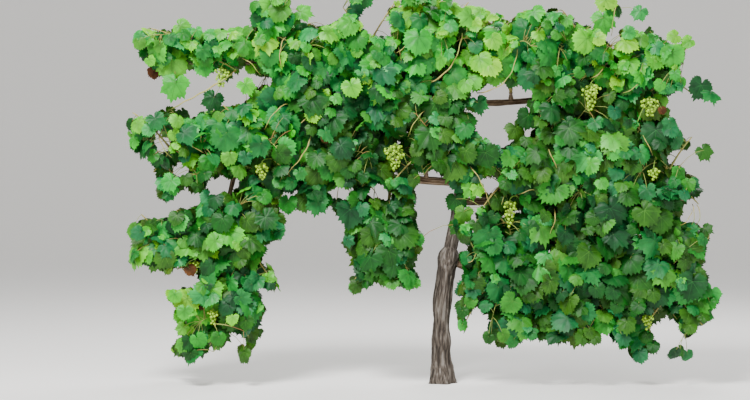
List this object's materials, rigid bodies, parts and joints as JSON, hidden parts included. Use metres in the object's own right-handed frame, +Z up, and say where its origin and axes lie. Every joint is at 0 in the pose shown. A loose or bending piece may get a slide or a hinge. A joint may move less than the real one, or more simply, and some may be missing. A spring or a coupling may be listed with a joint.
{
  "type": "grapevine",
  "caption": "Trained grapevine: short gnarled trunk with root flare, upright leader, level cordons to both sides, dense lobed leaves and young green bunches.",
  "frame": {"origin": "middle of the flat cut under the trunk, at ground level", "axes": "+Z up along the trunk, +X to the right along the cordons as seen from the front, +Y towards the wall side, the front faces -Y"},
  "size_m": [2.5397, 0.3848, 1.6712],
  "materials": {
    "bark": "rough fibrous bark",
    "young_wood": "matte thin bark",
    "leaves_top": "satin leaf, sunlit green",
    "leaves_middle": "satin leaf, mid green",
    "leaves_lower": "satin leaf, deep green"
  },
  "bodies": {
    "root": {"trunk": "bark", "leader": "bark", "top_left_cordon": "young_wood", "top_right_cordon": "young_wood", "middle_left_cordon": "young_wood", "middle_right_cordon": "young_wood", "lower_right_cordon": "young_wood", "hanging_left_arm": "young_wood", "top_leaves_1": "leaves_top", "top_leaves_2": "leaves_top", "top_leaves_3": "leaves_top", "top_leaves_4": "leaves_top", "top_leaves_5": "leaves_top", "top_leaves_6": "leaves_top", "top_leaves_7": "leaves_top", "middle_leaves_1": "leaves_middle", "middle_leaves_2": "leaves_middle", "middle_leaves_3": "leaves_middle", "middle_leaves_4": "leaves_middle", "middle_leaves_5": "leaves_middle", "middle_leaves_6": "leaves_middle", "middle_leaves_7": "leaves_middle", "lower_leaves_1": "leaves_lower", "lower_leaves_2": "leaves_lower", "lower_leaves_3": "leaves_lower", "lower_leaves_4": "leaves_lower", "lower_leaves_5": "leaves_lower", "lower_leaves_6": "leaves_lower", "lower_leaves_7": "leaves_lower"}
  },
  "joints": []
}
